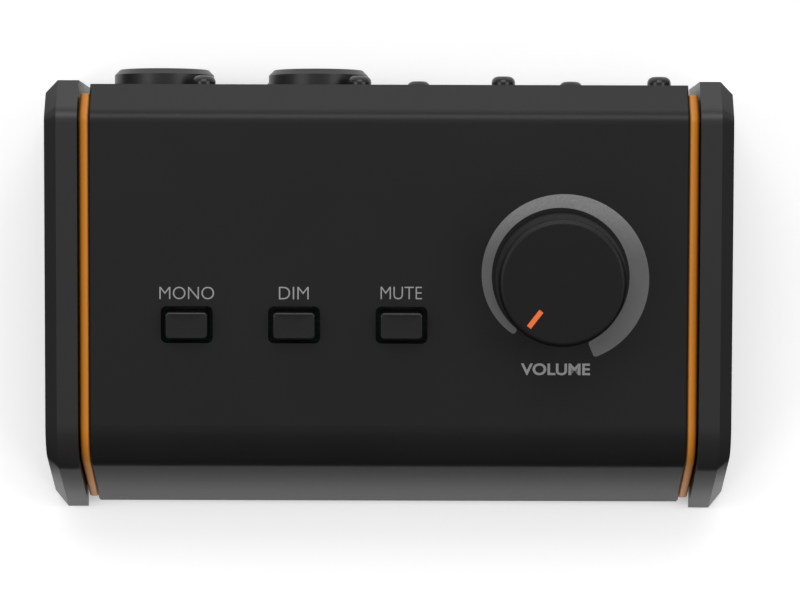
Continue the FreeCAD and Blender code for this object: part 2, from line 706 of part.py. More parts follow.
def knob():
    """Tapered cap on the shaft, hollow over the nut, with a pointer set in its top."""
    foot = "sizes.knob_gap"
    top = "(sizes.knob_gap + sizes.knob_height)"
    centre = (KNOB_X, "-sizes.knob_setback")
    blank = taper("knob_blank", "sizes.knob_base_radius", "sizes.knob_top_radius", "sizes.knob_height",
                  (*centre, foot))

    def top_rim(shape):
        return [f"Edge{number}" for number, edge in enumerate(shape.Edges, start=1)
                if edge.BoundBox.ZMin > value("sizes.knob_height") - NEAR]

    rounded = worked("knob_rounded", blank, "Fillet", top_rim, "sizes.knob_rounding")
    cavity = rod("knob_cavity", "sizes.knob_cavity_radius", "sizes.knob_cavity_height + sizes.overcut",
                 (*centre, f"{foot} - sizes.overcut"))
    bore = rod("knob_bore", "sizes.shaft_radius", "sizes.shaft_height + sizes.overcut", (*centre, "-sizes.overcut"))
    slot = pointer_bar("pointer_slot", top)
    solid = cut("knob_solid", rounded, fuse("knob_hollows", [cavity, bore, slot]))
    finish(on_panel(solid), "knob_cap")
    finish(on_panel(group("pointer_group", [pointer_bar("pointer_bar", top)])), "knob_pointer")


def pointer_bar(name, top):
    """The pointer's bar, from its inner radius outward, at its rest angle round the knob."""
    bar = doc.addObject("Part::Box", name)
    bind(bar, {"Length": "sizes.pointer_length", "Width": "sizes.pointer_width", "Height": "sizes.pointer_depth"})
    c, s = "cos(sizes.pointer_angle)", "sin(sizes.pointer_angle)"
    x = f"{KNOB_X} + sizes.pointer_inner * {c} + sizes.pointer_width / 2 * {s}"
    y = f"-sizes.knob_setback + sizes.pointer_inner * {s} - sizes.pointer_width / 2 * {c}"
    return place(bar, (x, y, f"{top} - sizes.pointer_depth"), (FreeCAD.Vector(0, 0, 1), "sizes.pointer_angle"))


def potentiometer():
    """Round pot under the panel: body with bushing, nut and washer on top, shaft with rotor inside."""
    centre = (KNOB_X, "-sizes.knob_setback")
    body = rod("pot_can", "sizes.pot_radius", "sizes.pot_height", (*centre, f"-{BOARD_DROP}"))
    bushing = rod("pot_bushing", "sizes.bushing_radius", "sizes.wall + sizes.bushing_height",
                  (*centre, "-sizes.wall"))
    chamber = rod("pot_chamber", "sizes.pot_radius - sizes.pot_wall", "sizes.pot_height - 2 * sizes.pot_wall",
                  (*centre, f"sizes.pot_wall - {BOARD_DROP}"))
    bore = rod("bushing_bore", "sizes.shaft_radius + sizes.fit_gap", "2 * sizes.pot_height",
               (*centre, f"sizes.pot_wall * 2 - {BOARD_DROP}"))
    solid = cut("pot_solid", fuse("pot_blank", [body, bushing]), fuse("pot_hollows", [chamber, bore]))
    finish(on_panel(solid), "pot_body")
    around_bushing = "sizes.bushing_radius + sizes.fit_gap"
    washer = cut("washer_solid", rod("washer_disc", "sizes.washer_radius", "sizes.washer_thickness", (*centre, "0")),
                 rod("washer_hole", around_bushing, "sizes.pot_height", (*centre, "-sizes.overcut")))
    finish(on_panel(washer), "pot_washer")
    nut = cut("nut_solid",
              hexagon("nut_blank", "sizes.nut_radius", "sizes.nut_height", (*centre, "sizes.washer_thickness")),
              rod("nut_hole", around_bushing, "sizes.pot_height", (*centre, "-sizes.overcut")))
    finish(on_panel(nut), "pot_nut")
    shaft_low = f"(sizes.pot_wall + 2 * sizes.edge_gap - {BOARD_DROP})"
    shaft = rod("shaft_rod", "sizes.shaft_radius", f"sizes.shaft_height - {shaft_low}", (*centre, shaft_low))
    finish(on_panel(group("shaft_group", [shaft])), "pot_shaft")
    rotor_low = "-(sizes.wall + sizes.rotor_depth + sizes.rotor_thickness)"
    rotor = cut("rotor_solid", rod("rotor_disc", "sizes.rotor_radius", "sizes.rotor_thickness", (*centre, rotor_low)),
                rod("rotor_hole", "sizes.shaft_radius", "sizes.pot_height", (*centre, f"-{BOARD_DROP}")))
    finish(on_panel(rotor), "pot_rotor")


def push_buttons():
    """Three caps, each pressed on the plunger of a switch that stands on the control board."""
    for name, x in BUTTONS.items():
        centre = (x, "-sizes.button_setback")
        plunger_size = ("sizes.plunger_size", "sizes.plunger_size", "sizes.plunger_length")
        plunger_low = "(-sizes.plunger_top - sizes.plunger_length)"
        blank = box(f"{name}_cap_blank", ("sizes.button_length", "sizes.button_width",
                                          "sizes.button_proud + sizes.button_depth"), centre, "-sizes.button_depth")
        rounded = worked(f"{name}_cap_rounded", blank, "Fillet", upright_edges, "sizes.button_corner")
        dress(rounded, "Chamfer", faces_facing(FreeCAD.Vector(0, 0, 1)), "sizes.button_edge")
        doc.recompute()
        socket = box(f"{name}_cap_socket", plunger_size, centre, plunger_low)
        finish(on_panel(cut(f"{name}_cap", rounded, socket)), f"{name}_button")
        bar = box(f"{name}_plunger_bar", plunger_size, centre, plunger_low)
        finish(on_panel(group(f"{name}_plunger_group", [bar])), f"{name}_plunger")
        case = box(f"{name}_switch_case", ("sizes.switch_size", "sizes.switch_size", "sizes.switch_height"),
                   centre, f"-{BOARD_DROP}")
        well = box(f"{name}_switch_well", ("sizes.plunger_size + 2 * sizes.plunger_play",) * 2
                   + ("sizes.switch_height",), centre, f"sizes.switch_floor - {BOARD_DROP}")
        finish(on_panel(cut(f"{name}_switch_solid", case, well)), f"{name}_switch")


def control_board():
    """Board under the panel, hung from it on four standoffs, each held by a screw from below."""
    centre = ("0", "-sizes.board_setback")
    low = f"(-{BOARD_DROP} - sizes.board_thickness)"
    board = box("board_blank", (BOARD_WIDTH, "sizes.board_depth", "sizes.board_thickness"), centre, low)
    holes = []
    pillars = []
    screws = []
    length = f"({BOARD_DROP} - sizes.wall + sizes.board_thickness - sizes.overcut)"
    for x in (f"-{STANDOFF_X}", STANDOFF_X):
        for y in ("(-sizes.board_setback - sizes.standoff_pitch / 2)",
                  "(-sizes.board_setback + sizes.standoff_pitch / 2)"):
            holes.append(rod("board_hole", HOLE, "sizes.board_thickness + 2 * sizes.overcut",
                             (x, y, f"{low} - sizes.overcut")))
            pillar = rod("standoff", "sizes.standoff_radius", "sizes.pot_height", (x, y, f"-{BOARD_DROP}"))
            bore = rod("standoff_bore", HOLE, "sizes.pot_height - sizes.standoff_cap", (x, y, f"-{BOARD_DROP}"))
            pillars.append(cut("standoff_solid", pillar, bore))
            screws.append(machine_screw(f"board_screw_{len(screws) + 1}", (x, y, low), None, length))
    finish(on_panel(cut("board_solid", board, fuse("board_holes", holes))), "control_board")
    finish(on_panel(group("standoff_group", pillars)), "board_standoffs")
    finish(on_panel(group("board_screw_group", screws)), "board_screws")
    header = box("control_header_block", ("sizes.header_length", "sizes.header_width", "sizes.header_height"),
                 centre, f"{low} - sizes.header_height")
    finish(on_panel(group("control_header_group", [header])), "control_header")


def rear_board():
    """Upright board on the backs of the four connectors, its header and the ribbon to the control board."""
    back = f"({CONNECTOR_BACK} - sizes.board_thickness)"
    middle = f"({CONNECTOR_BACK} - sizes.board_thickness / 2)"
    width = "sizes.body_width - 2 * sizes.rear_board_side_gap"
    board = box("rear_board_block", (width, "sizes.board_thickness", "sizes.rear_board_height"),
                ("0", middle), f"{CONNECTOR_Z} - sizes.rear_board_height / 2")
    finish(group("rear_board_group", [board]), "connector_board")
    header_z = f"({PLATE_TOP} + sizes.header_rise)"
    header = box("rear_header_block", ("sizes.header_length", "sizes.header_height", "sizes.header_width"),
                 ("0", f"{back} - sizes.header_height / 2"), header_z)
    finish(group("rear_header_group", [header]), "connector_header")
    end_y, end_z = panel_point("sizes.board_setback",
                               f"{BOARD_DROP} + sizes.board_thickness + sizes.header_height")
    start_y = f"({back} - sizes.header_height)"
    run_z = f"({header_z} + sizes.header_width / 2)"
    half = "sizes.ribbon_thickness / 2"
    run = box("ribbon_run", ("sizes.ribbon_width", f"{start_y} - {end_y} + {half}", "sizes.ribbon_thickness"),
              ("0", f"({start_y} + {end_y} - {half}) / 2"), f"{run_z} - {half}")
    rise_size = ("sizes.ribbon_width", "sizes.ribbon_thickness", f"{end_z} - {run_z} - sizes.edge_gap")
    rise = box("ribbon_rise", rise_size, ("0", end_y), run_z)
    finish(fuse("ribbon_solid", [run, rise]), "ribbon_cable")


def check_and_export():
    doc.recompute()
    for thing in doc.Objects:
        if "Invalid" in thing.State or "Error" in thing.State:
            raise RuntimeError(f"{thing.Name} failed: {thing.State}")
    for thing in parts:
        if thing.Shape.isNull() or not thing.Shape.isValid() or not thing.Shape.Solids:
            raise RuntimeError(f"{thing.Label} has no valid solid")
    os.makedirs("parts", exist_ok=True)
    for thing in parts:
        thing.Shape.exportStep(os.path.join("parts", f"{thing.Label}.step"))
        extent = thing.Shape.BoundBox
        print(f"{thing.Label}: {len(thing.Shape.Solids)} solid(s), {thing.Shape.Volume:.1f} mm3,"
              f" x {extent.XMin:.2f}..{extent.XMax:.2f} y {extent.YMin:.2f}..{extent.YMax:.2f}"
              f" z {extent.ZMin:.2f}..{extent.ZMax:.2f}")


main_housing()
cheeks_and_strips()
base_plate_and_rear_panel()
fixing_blocks()
case_screws()
rubber_feet()
connectors()
knob()
potentiometer()
push_buttons()
control_board()
rear_board()
check_and_export()
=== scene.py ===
import json
import math

import bmesh
import bpy
import numpy as np
from mathutils import Matrix, Vector


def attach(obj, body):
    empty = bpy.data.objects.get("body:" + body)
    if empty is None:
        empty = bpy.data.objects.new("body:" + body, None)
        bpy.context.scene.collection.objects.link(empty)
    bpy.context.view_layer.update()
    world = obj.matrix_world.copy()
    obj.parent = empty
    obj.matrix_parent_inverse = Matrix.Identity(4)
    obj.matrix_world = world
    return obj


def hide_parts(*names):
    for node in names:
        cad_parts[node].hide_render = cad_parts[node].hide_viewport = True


# Studio monitor controller seen from straight above: a black wedge-shaped case between two cheeks, with
# orange strips in the grooves, a volume knob with a printed crescent, three keys and four rear connectors.

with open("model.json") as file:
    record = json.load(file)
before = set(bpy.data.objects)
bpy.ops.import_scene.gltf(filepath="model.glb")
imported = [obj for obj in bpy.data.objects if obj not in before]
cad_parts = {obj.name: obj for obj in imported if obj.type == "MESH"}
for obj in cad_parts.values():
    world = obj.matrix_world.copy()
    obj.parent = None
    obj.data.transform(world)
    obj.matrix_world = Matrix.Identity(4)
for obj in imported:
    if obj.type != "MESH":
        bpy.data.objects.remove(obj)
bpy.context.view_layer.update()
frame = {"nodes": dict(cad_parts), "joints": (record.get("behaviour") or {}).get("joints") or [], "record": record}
MM = 0.001
SHARP_EDGE = math.radians(40)

# The panel's own coordinates: x to the right, u up the slope, v off the panel, all in millimetres,
# counted from the foot of the knob's axis.
KNOB_JOINT = next(joint for joint in frame["joints"] if joint["name"] == "volume_turn")
KNOB_FOOT = Vector(KNOB_JOINT["pos_m"])
NORMAL = -Vector(KNOB_JOINT["axis"])
UPHILL = Vector((0, NORMAL.z, -NORMAL.y))
TO_PANEL = Matrix((
    (1, 0, 0, KNOB_FOOT.x),
    (0, UPHILL.y, NORMAL.y, KNOB_FOOT.y),
    (0, UPHILL.z, NORMAL.z, KNOB_FOOT.z),
    (0, 0, 0, 1),
))

# Side outline of the case in millimetres and radians: the rear face, the bevel up to the kink, the sloped
# panel, the round over the front and the leaning front down to its foot.
REAR_Y = 46.0955
FOOT_Y = -48.6045
FLOOR_Z = 3.5
BEVEL_RUN = 7.1
REAR_HEIGHT = 35.0
CASE_HEIGHT = 41.7
SLOPE = math.radians(5.7)
LEAN = math.radians(18.0)
KINK_RADIUS = 4.0
FRONT_RADIUS = 11.0
ARC_STEPS = 17

# Trim strips in millimetres: where the groove starts across the case, the strip's section and how far it
# stops short of the rear face and of the foot.
GROOVE_X = 67.0
STRIP_WIDTH = 2.1
STRIP_DEPTH = 2.6
STRIP_EDGE = 0.5
STRIP_CROWN = 0.12
STRIP_RECESS = 0.7
STRIP_REAR_GAP = 1.7
STRIP_FRONT_GAP = 0.8
STRIP_CORNER_STEPS = 8

# Key caps in millimetres, and how many points and rings their rounds and dish take.
KEYS = ("mono", "dim", "mute")
KEY_HALF_LENGTH = 4.75
KEY_HALF_WIDTH = 3.025
KEY_CORNER = 0.95
KEY_LOW = -4.2
KEY_HIGH = 3.0
KEY_EDGE = 0.42
KEY_DISH = 0.14
KEY_CORNER_STEPS = 10
KEY_EDGE_STEPS = 9
DISH_SHARES = np.linspace(0.95, 0.05, 12)

# Printed crescent round the knob: clock angles of its ends in degrees, its end corners and ink in
# millimetres, and the inner and outer radius in millimetres at stations given by clock angle.
CRESCENT_ENDS = (-141.0, 157.0)
CRESCENT_STEPS = 240
CRESCENT_CORNER = 0.4
CRESCENT_INK = 0.02
CRESCENT_RADIUS = 15.5
INNER_STATIONS = [
    (-141, 15.2), (-124, 15.12), (-111, 15.2), (-90, 15.48), (0, 15.6), (90, 15.42), (157, 15.8),
]
OUTER_STATIONS = [
    (-141, 16.6), (-133, 16.74), (-120, 17.07), (-109, 17.28), (-89, 17.72), (0, 18.64), (90, 19.78),
    (157, 19.45),
]

# The picture in pixels: its size, the millimetres a pixel covers on the panel, the column of x = 0 and the
# row of the knob's foot.
PICTURE_WIDTH = 800
PICTURE_HEIGHT = 600
PIXEL = 0.2234
ZERO_COLUMN = 388.6
KNOB_ROW = 277.0

# Words on the panel: middle column, row of the base line, width and cap height in pixels, and the weight
# that is added round each stroke of a letter in a font of LETTER_SIZE.
LETTER_SIZE = 4.0
LETTER_INK = 0.01
LETTER_CURVE_STEPS = 6
LEGENDS = {
    "MONO": (186.75, 299.8, 54.7, 12.5, -0.045),
    "DIM": (293.8, 299.6, 29.8, 12.5, -0.045),
    "MUTE": (401.25, 299.3, 41.3, 12.6, -0.045),
    "VOLUME": (555.9, 375.3, 69.2, 12.0, 0.1),
}

# Lamps: place and size in metres, and power in watts.
LAMPS = {
    "rear_lamp": ((0, 0.8, 1.1), (1.0, 0.5), 5.2),
    "left_lamp": ((-1.0, 0.15, 1.05), (0.5, 0.9), 3.4),
    "right_lamp": ((1.0, 0.15, 1.05), (0.5, 0.9), 3.4),
    "front_left_lamp": ((-0.9, -0.7, 1.05), (0.5, 0.5), 2.1),
    "front_right_lamp": ((0.9, -0.7, 1.05), (0.5, 0.5), 2.1),
    "low_rear_lamp": ((0, 0.7, 0.17), (1.6, 0.3), 1.8),
}
SKY_STRENGTH = 0.4
PAPER_GLOW = 0.27
FLOOR_HALF = 3.0

# Card that only reflections see, in metres: right half of the opening round the object and of the outer
# edge, from the rear to the front, its height over the floor, and the top of the wall on the outer edge,
# WALL_HEIGHT at y = 0 and higher to the front.
CARD_OPENING = [(0.115, 0.12), (0.115, -0.03), (0.0835, -0.042), (0.0835, -0.057)]
CARD_EDGE = [(0.4, 0.12), (0.4, -0.03), (0.4, -0.2), (0.4, -0.3)]
CARD_LEVEL = 0.002
WALL_HEIGHT = 0.4
WALL_RISE = 1 / 1.2

# Camera: height over the panel and sensor width in millimetres, small turn, and nearest sight in metres.
CAMERA_HEIGHT = 1025.0
SENSOR_WIDTH = 36.0
CAMERA_ROLL = math.radians(0.16)
CLIP_START = 0.05


class Socket:
    """A shader socket whose arithmetic adds Math nodes."""

    def __init__(self, maker, link):
        self.maker = maker
        self.link = link

    def _math(self, operation, *values):
        return self.maker.node("ShaderNodeMath", {"operation": operation}, dict(enumerate(values)))[0]

    def __add__(self, other):
        return self._math("ADD", self, other)

    def __sub__(self, other):
        return self._math("SUBTRACT", self, other)

    def __rsub__(self, other):
        return self._math("SUBTRACT", other, self)

    def __mul__(self, other):
        return self._math("MULTIPLY", self, other)

    def __truediv__(self, other):
        return self._math("DIVIDE", self, other)

    def __rtruediv__(self, other):
        return self._math("DIVIDE", other, self)

    def __abs__(self):
        return self._math("ABSOLUTE", self)

    def clamped(self):
        return self.maker.node("ShaderNodeClamp", {}, {"Value": self})[0]

    __radd__ = __add__
    __rmul__ = __mul__


class Outputs:
    """A node's outputs by name or number."""

    def __init__(self, maker, node):
        self.maker = maker
        self.node = node

    def __getitem__(self, name):
        return Socket(self.maker, self.node.outputs[name])


class Finish:
    """A material in the making: one Principled surface and the nodes that feed it."""

    def __init__(self, name, **settings):
        self.material = bpy.data.materials.new(name)
        self.material.use_nodes = True
        self.tree = self.material.node_tree
        self.surface = self.tree.nodes["Principled BSDF"]
        self.point = self.node("ShaderNodeTexCoord")["Object"]
        for socket, value in settings.items():
            self.set(socket.replace("_", " "), value)

    def node(self, kind, settings=None, sockets=None):
        """Adds a node, its settings first, then the values or links of its sockets; gives its outputs."""
        added = self.tree.nodes.new(kind)
        for name, value in (settings or {}).items():
            setattr(added, name, value)
        for name, value in (sockets or {}).items():
            self._feed(added.inputs[name], value)
        return Outputs(self, added)

    def _feed(self, socket, value):
        if isinstance(value, Socket):
            self.tree.links.new(value.link, socket)
        else:
            socket.default_value = value

    def set(self, name, value):
        """Sets or feeds a socket of the surface."""
        self._feed(self.surface.inputs[name], value)

    def part_of_point(self, axis):
        """X, Y or Z of the shaded point in metres."""
        return self.node("ShaderNodeSeparateXYZ", {}, {"Vector": self.point})[axis]

    def noise(self, scale, detail=3.0, roughness=0.5):
        """Noise from 0 to 1 over the piece; scale is cells per millimetre."""
        sockets = {"Vector": self.point, "Scale": scale / MM, "Detail": detail, "Roughness": roughness}
        return self.node("ShaderNodeTexNoise", {}, sockets)["Fac"]

    def mix(self, factor, first, second):
        """Colour between two colours; sockets 6, 7 and output 2 are the Mix node's colour ones."""
        first, second = (colour if isinstance(colour, Socket) else (*colour, 1) for colour in (first, second))
        return self.node("ShaderNodeMix", {"data_type": "RGBA"}, {"Factor": factor, 6: first, 7: second})[2]

    def bump(self, height, depth):
        """Normal of a bump whose height from 0 to 1 stands for a depth in millimetres."""
        return self.node("ShaderNodeBump", {}, {"Height": height, "Distance": depth * MM})["Normal"]


def shade(colour, factor):
    """A colour made darker or lighter by a factor."""
    return tuple(level * factor for level in colour)


def grey(level):
    """A neutral colour."""
    return (level, level, level)


def coated_metal(name, colour, lift, roughness, grain=0.02, shine=0.5):
    """Powder-coated or anodised metal: fine grain in the gloss and height, and a faint cloudiness in the
    tone, which runs from the colour to the colour times the lift."""
    cloud_share, speck_share, gloss_swing = 0.7, 0.3, 0.12
    finish = Finish(name, Specular_IOR_Level=shine)
    cloud = finish.noise(0.03, detail=2.0)
    speck = finish.noise(3.2, detail=4.0, roughness=0.65)
    blend = (cloud * cloud_share + speck * speck_share).clamped()
    finish.set("Base Color", finish.mix(blend, colour, shade(colour, lift)))
    finish.set("Roughness", (speck - 0.5) * gloss_swing + roughness)
    finish.set("Normal", finish.bump(speck, grain))
    return finish.material


def moulded_plastic(name, colour, roughness, grain=0.012, shine=0.5):
    """Moulded plastic: a nearly even colour with a spark-eroded texture."""
    darkest, lightest, gloss_swing = 0.9, 1.12, 0.12
    finish = Finish(name, Specular_IOR_Level=shine)
    pit = finish.noise(4.5, detail=3.0, roughness=0.6)
    finish.set("Base Color", finish.mix(pit, shade(colour, darkest), shade(colour, lightest)))
    finish.set("Roughness", (pit - 0.5) * gloss_swing + roughness)
    finish.set("Normal", finish.bump(pit, grain))
    return finish.material


def bright_metal(name, colour, roughness):
    """Plated or turned metal with fine marks."""
    darkest, gloss_swing, mark_depth = 0.82, 0.2, 0.004
    finish = Finish(name, Metallic=1.0)
    mark = finish.noise(1.5, detail=5.0)
    finish.set("Base Color", finish.mix(mark, shade(colour, darkest), colour))
    finish.set("Roughness", mark * gloss_swing + roughness)
    finish.set("Normal", finish.bump(mark, mark_depth))
    return finish.material


def ink_fleck(finish):
    """The pin holes of screen printing, from 0 to 1."""
    return finish.noise(2.6, detail=4.0, roughness=0.7)


def printed_ink(name, colour):
    """Screen-printed ink: a thin satin layer with pin holes in its tone."""
    darkest, lightest = 0.86, 1.1
    finish = Finish(name, Roughness=0.6)
    finish.set("Base Color", finish.mix(ink_fleck(finish), shade(colour, darkest), shade(colour, lightest)))
    return finish.material


def crescent_ink(name, front_tone, rear_tone):
    """Grey ink that grows lighter from just behind the knob's axis to the rear, with pin holes in it."""
    fade_start, fade_length, hole_tone = KNOB_FOOT.y + 4 * MM, 12 * MM, 0.8
    finish = Finish(name, Roughness=0.55)
    rearward = ((finish.part_of_point("Y") - fade_start) / fade_length).clamped()
    tone = finish.mix(rearward, front_tone, rear_tone)
    finish.set("Base Color", finish.mix(ink_fleck(finish), tone, shade(front_tone, hole_tone)))
    return finish.material


def trim_plastic(name, painted_highlight, cheek_side):
    """Orange trim with a painted highlight: lighter along the edge beside the body, standing in for the gloss on
    its rounded side, and its own deeper orange along the cheek.
    """
    fade_start, fade_length = (GROOVE_X + 0.2) * MM, 1.5 * MM
    pit_share, gloss_swing, gloss, grain = 0.3, 0.1, 0.32, 0.008
    finish = Finish(name, Specular_IOR_Level=0.25)
    outward = ((abs(finish.part_of_point("X")) - fade_start) / fade_length).clamped()
    pit = finish.noise(4.5, detail=3.0)
    # Painted highlight: over 1.5 mm the colour goes from the light orange beside the body to the trim's own orange
    # at the cheek.
    tone = finish.mix(outward, painted_highlight, cheek_side)
    finish.set("Base Color", finish.mix(pit * pit_share, tone, cheek_side))
    finish.set("Roughness", pit * gloss_swing + gloss)
    finish.set("Normal", finish.bump(pit, grain))
    return finish.material


def circuit_board(name, mask, track):
    """Green solder mask over the faint pattern of its tracks."""
    tracks = {"Scale": 180.0, "Mortar Size": 0.02}
    finish = Finish(name, Roughness=0.35)
    pattern = finish.node("ShaderNodeTexBrick", {}, {"Vector": finish.point, **tracks})["Fac"]
    finish.set("Base Color", finish.mix(pattern, mask, track))
    return finish.material


MATERIALS = {
    "case_black": coated_metal("coated_case", (0.0095, 0.0095, 0.0097), 1.5, 0.36, grain=0.012, shine=0.25),
    "cheek_black": coated_metal("coated_cheek", (0.0175, 0.0175, 0.018), 1.3, 0.36, grain=0.012, shine=0.4),
    "plate_black": coated_metal("coated_plate", (0.02, 0.02, 0.021), 1.3, 0.5),
    # The orange trim's first colour is its painted highlight, and the second is its own orange.
    "trim_orange": trim_plastic("orange_trim_painted_highlight", (0.78, 0.29, 0.045), (0.46, 0.15, 0.003)),
    "pointer_orange": moulded_plastic("orange_pointer", (0.85, 0.16, 0.03), 0.45),
    "knob_black": moulded_plastic("knob_plastic", (0.0045, 0.0045, 0.0047), 0.42, shine=0.3),
    "button_black": moulded_plastic("key_plastic", (0.006, 0.006, 0.0062), 0.26, grain=0.006),
    "foot_rubber": moulded_plastic("foot_rubber", grey(0.018), 0.8, grain=0.03),
    "connector_black": moulded_plastic("connector_plastic", (0.008, 0.008, 0.0083), 0.38),
    "insulator_black": moulded_plastic("insulator_plastic", grey(0.016), 0.6),
    "pin_nickel": bright_metal("nickel_pin", (0.78, 0.75, 0.68), 0.22),
    "contact_silver": bright_metal("silver_contact", (0.75, 0.73, 0.66), 0.25),
    "screw_black": coated_metal("black_zinc", (0.008, 0.008, 0.0085), 1.3, 0.28, grain=0.006),
    "bare_metal": bright_metal("turned_aluminium", (0.76, 0.76, 0.77), 0.32),
    "steel": bright_metal("zinc_steel", (0.66, 0.66, 0.67), 0.28),
    "board_green": circuit_board("solder_mask", (0.012, 0.11, 0.045), (0.02, 0.17, 0.075)),
    "part_plastic": moulded_plastic("component_plastic", (0.02, 0.02, 0.022), 0.5),
    "plunger_white": moulded_plastic("natural_plastic", (0.72, 0.71, 0.66), 0.45),
    "ribbon_grey": moulded_plastic("ribbon_insulation", (0.36, 0.36, 0.38), 0.5),
    "legend_grey": printed_ink("legend_ink", grey(0.3)),
    "scale_grey": crescent_ink("scale_ink", grey(0.145), grey(0.33)),
}


def dress_nodes():
    """Gives every construction node the finish of its slot."""
    for part in frame["record"]["subparts"]:
        slots = frame["nodes"][part["node"]].data.materials
        finish = MATERIALS[part["material_slot"]]
        if len(slots) == 0:
            slots.append(finish)
        for index in range(len(slots)):
            slots[index] = finish


def face_outward(mesh, merge_within=0.0):
    """Turns a closed mesh's faces outward, after merging points that lie within a distance of each other."""
    work = bmesh.new()
    work.from_mesh(mesh)
    if merge_within:
        bmesh.ops.remove_doubles(work, verts=work.verts, dist=merge_within)
    bmesh.ops.recalc_face_normals(work, faces=work.faces)
    work.to_mesh(mesh)
    work.free()


def add_piece(name, mesh, finish, body):
    """Adds a mesh as a piece of one finish that rides on a body."""
    mesh.materials.clear()
    mesh.materials.append(MATERIALS[finish])
    piece = bpy.data.objects.new(name, mesh)
    bpy.context.scene.collection.objects.link(piece)
    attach(piece, body)
    return piece


def make_piece(name, points, faces, finish, body, smooth=True):
    """A piece of points in metres and faces, flat or smooth but for edges sharper than SHARP_EDGE."""
    mesh = bpy.data.meshes.new(name)
    mesh.from_pydata(points.tolist(), [], faces)
    face_outward(mesh)
    if smooth:
        mesh.shade_smooth()
        mesh.set_sharp_from_angle(angle=SHARP_EDGE)
    return add_piece(name, mesh, finish, body)


def panel_points(x, u, v):
    """World points in metres of panel coordinates in millimetres."""
    local = np.stack([x, u, v]).reshape(3, -1) * MM
    placed = np.array(TO_PANEL)
    return (placed[:3, :3] @ local).T + placed[:3, 3]


def grid_faces(rows, columns, closed=True):
    """Quads of a grid of rows by columns; the columns may close on themselves."""
    last = columns if closed else columns - 1
    row, column = np.meshgrid(np.arange(rows - 1), np.arange(last), indexing="ij")
    beside = (column + 1) % columns
    here, above = row * columns, (row + 1) * columns
    quads = np.stack([here + column, here + beside, above + beside, above + column], axis=-1)
    return quads.reshape(-1, 4).tolist()


def end_caps(rows, columns):
    """The two faces that close a grid of rows by closed columns at its first and last row."""
    return [list(range(columns)), list(range((rows - 1) * columns, rows * columns))]


def rounded_rectangle(half_length, half_width, corner, steps):
    """Outline of a rectangle whose corners are quarter circles, as its two coordinates."""
    turn = np.linspace(0, math.pi / 2, steps)
    across, along = [], []
    for quarter, (side, end) in enumerate(((1, 1), (-1, 1), (-1, -1), (1, -1))):
        angle = turn + quarter * math.pi / 2
        across.append(side * (half_length - corner) + corner * np.cos(angle))
        along.append(end * (half_width - corner) + corner * np.sin(angle))
    return np.concatenate(across), np.concatenate(along)


def smooth_through(stations, clock):
    """Radii at clock angles by the quartic that best fits the stations."""
    angle, radius = np.transpose(stations)
    return np.polyval(np.polyfit(np.radians(angle), radius, 4), clock)


def printed_crescent():
    """Thin closed band on the panel: at each clock angle round the knob it runs from the inner to the outer
    radius, both smooth curves through their stations, and quarter circles round its corners at both ends."""
    start, end = (math.radians(angle) for angle in CRESCENT_ENDS)
    clock = np.linspace(start, end, CRESCENT_STEPS)
    from_end = np.minimum(clock - start, end - clock) * CRESCENT_RADIUS
    into_corner = np.clip(CRESCENT_CORNER - from_end, 0, CRESCENT_CORNER)
    ease = CRESCENT_CORNER - np.sqrt(CRESCENT_CORNER**2 - into_corner**2)
    inside = smooth_through(INNER_STATIONS, clock) + ease
    outside = smooth_through(OUTER_STATIONS, clock) - ease
    radius = np.stack([inside, outside, outside, inside])
    height = np.repeat([[0.0], [0.0], [CRESCENT_INK], [CRESCENT_INK]], CRESCENT_STEPS, axis=1)
    points = panel_points(radius * np.sin(clock), radius * np.cos(clock), height)
    faces = (np.array(grid_faces(5, CRESCENT_STEPS, closed=False)) % (4 * CRESCENT_STEPS)).tolist()
    first = np.arange(4) * CRESCENT_STEPS
    faces += [first.tolist(), (first[::-1] + CRESCENT_STEPS - 1).tolist()]
    make_piece("volume_scale", points, faces, "scale_grey", "case", smooth=False)


def legend(word, centre_x, low_u, width, cap_height, weight):
    """A printed word: thin layers of ink, scaled to the word's width and cap height and laid on the panel."""
    name = word.lower() + "_legend"
    curve = bpy.data.curves.new(name, "FONT")
    curve.body = word
    curve.size = LETTER_SIZE
    curve.offset = weight
    curve.extrude = LETTER_INK
    curve.resolution_u = LETTER_CURVE_STEPS
    holder = bpy.data.objects.new("holder", curve)
    bpy.context.scene.collection.objects.link(holder)
    bpy.context.view_layer.update()
    mesh = bpy.data.meshes.new_from_object(holder)
    bpy.data.objects.remove(holder)
    points = np.zeros(len(mesh.vertices) * 3)
    mesh.vertices.foreach_get("co", points)
    points = points.reshape(-1, 3)
    low, high = points.min(0), points.max(0)
    x = centre_x - KNOB_FOOT.x / MM + (points[:, 0] - (low[0] + high[0]) / 2) * width / (high[0] - low[0])
    u = low_u + (points[:, 1] - low[1]) * cap_height / (high[1] - low[1])
    mesh.vertices.foreach_set("co", panel_points(x, u, points[:, 2] - low[2]).ravel())
    face_outward(mesh, merge_within=1e-7)
    mesh.name = name
    add_piece(name, mesh, "legend_grey", "case")


def legends():
    """The words at the keys and the knob, at their places in the picture."""
    for word, (column, row, width, height, weight) in LEGENDS.items():
        centre_x, low_u = (column - ZERO_COLUMN) * PIXEL, (KNOB_ROW - row) * PIXEL
        legend(word, centre_x, low_u, width * PIXEL, height * PIXEL, weight)


